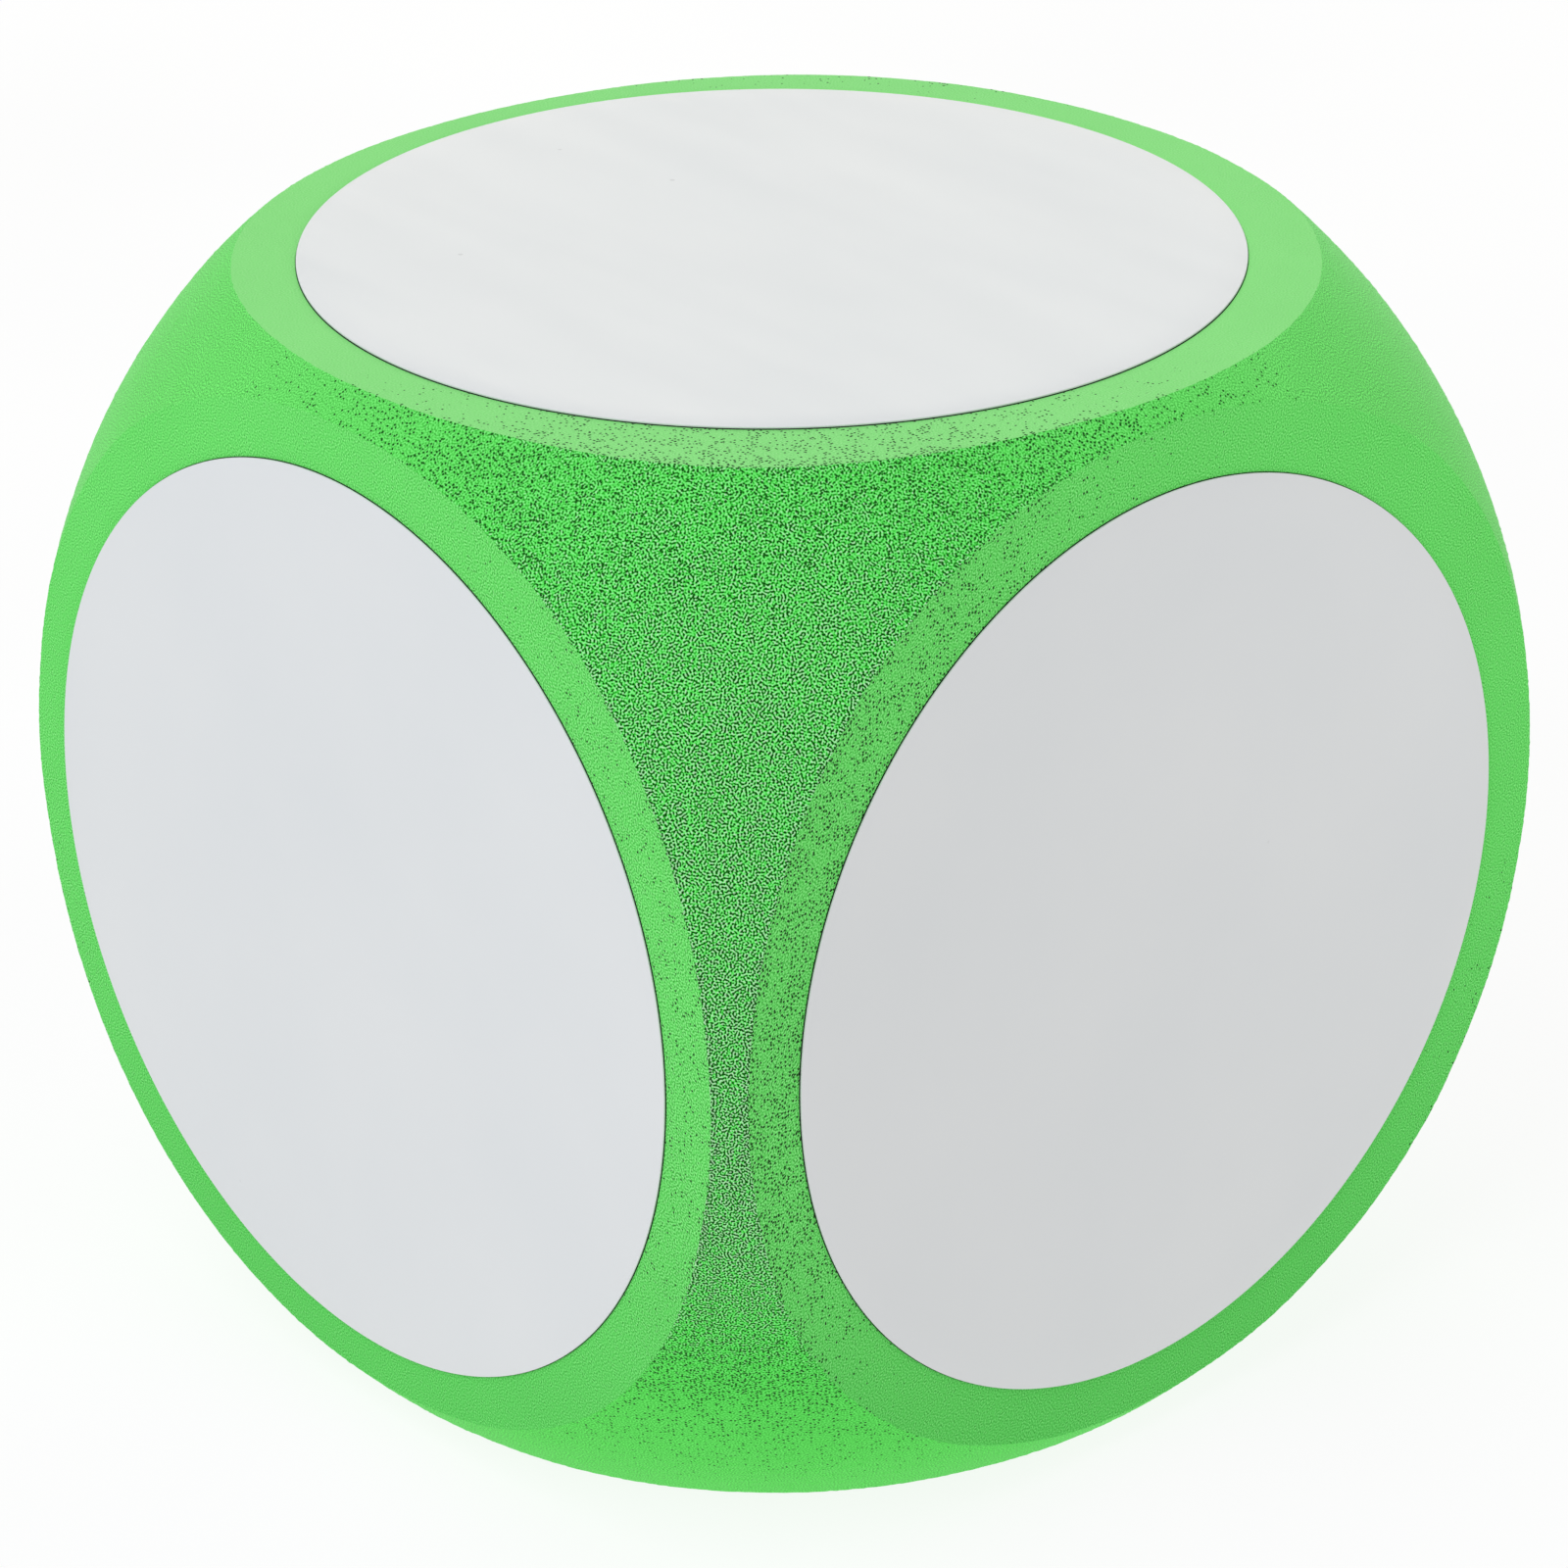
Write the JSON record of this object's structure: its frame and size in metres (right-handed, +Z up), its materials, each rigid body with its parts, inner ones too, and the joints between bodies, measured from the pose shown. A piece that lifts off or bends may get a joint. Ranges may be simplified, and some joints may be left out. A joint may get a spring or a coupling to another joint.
{
  "type": "write-on foam yard die",
  "caption": "Large soft die: a green foam ball cut flat on six sides, with a blank round white write-on disc on each flat.",
  "frame": {"origin": "middle of the outer face of the bottom write-on disc, which the die rests on", "axes": "+Z up, out of the top disc; the front disc faces -Y and the right disc faces +X"},
  "size_m": [0.15, 0.15, 0.15],
  "materials": {
    "green_foam": "fine-celled closed foam, cut and left matt",
    "write_on_white": "smooth satin wipe-clean sheet",
    "adhesive_grey": "thin double-sided tape"
  },
  "bodies": {
    "root": {"foam_body": "green_foam", "write_on_disc_top": "write_on_white", "write_on_disc_bottom": "write_on_white", "write_on_disc_front": "write_on_white", "write_on_disc_back": "write_on_white", "write_on_disc_right": "write_on_white", "write_on_disc_left": "write_on_white", "adhesive_round_top": "adhesive_grey", "adhesive_round_bottom": "adhesive_grey", "adhesive_round_front": "adhesive_grey", "adhesive_round_back": "adhesive_grey", "adhesive_round_right": "adhesive_grey", "adhesive_round_left": "adhesive_grey"}
  },
  "joints": []
}
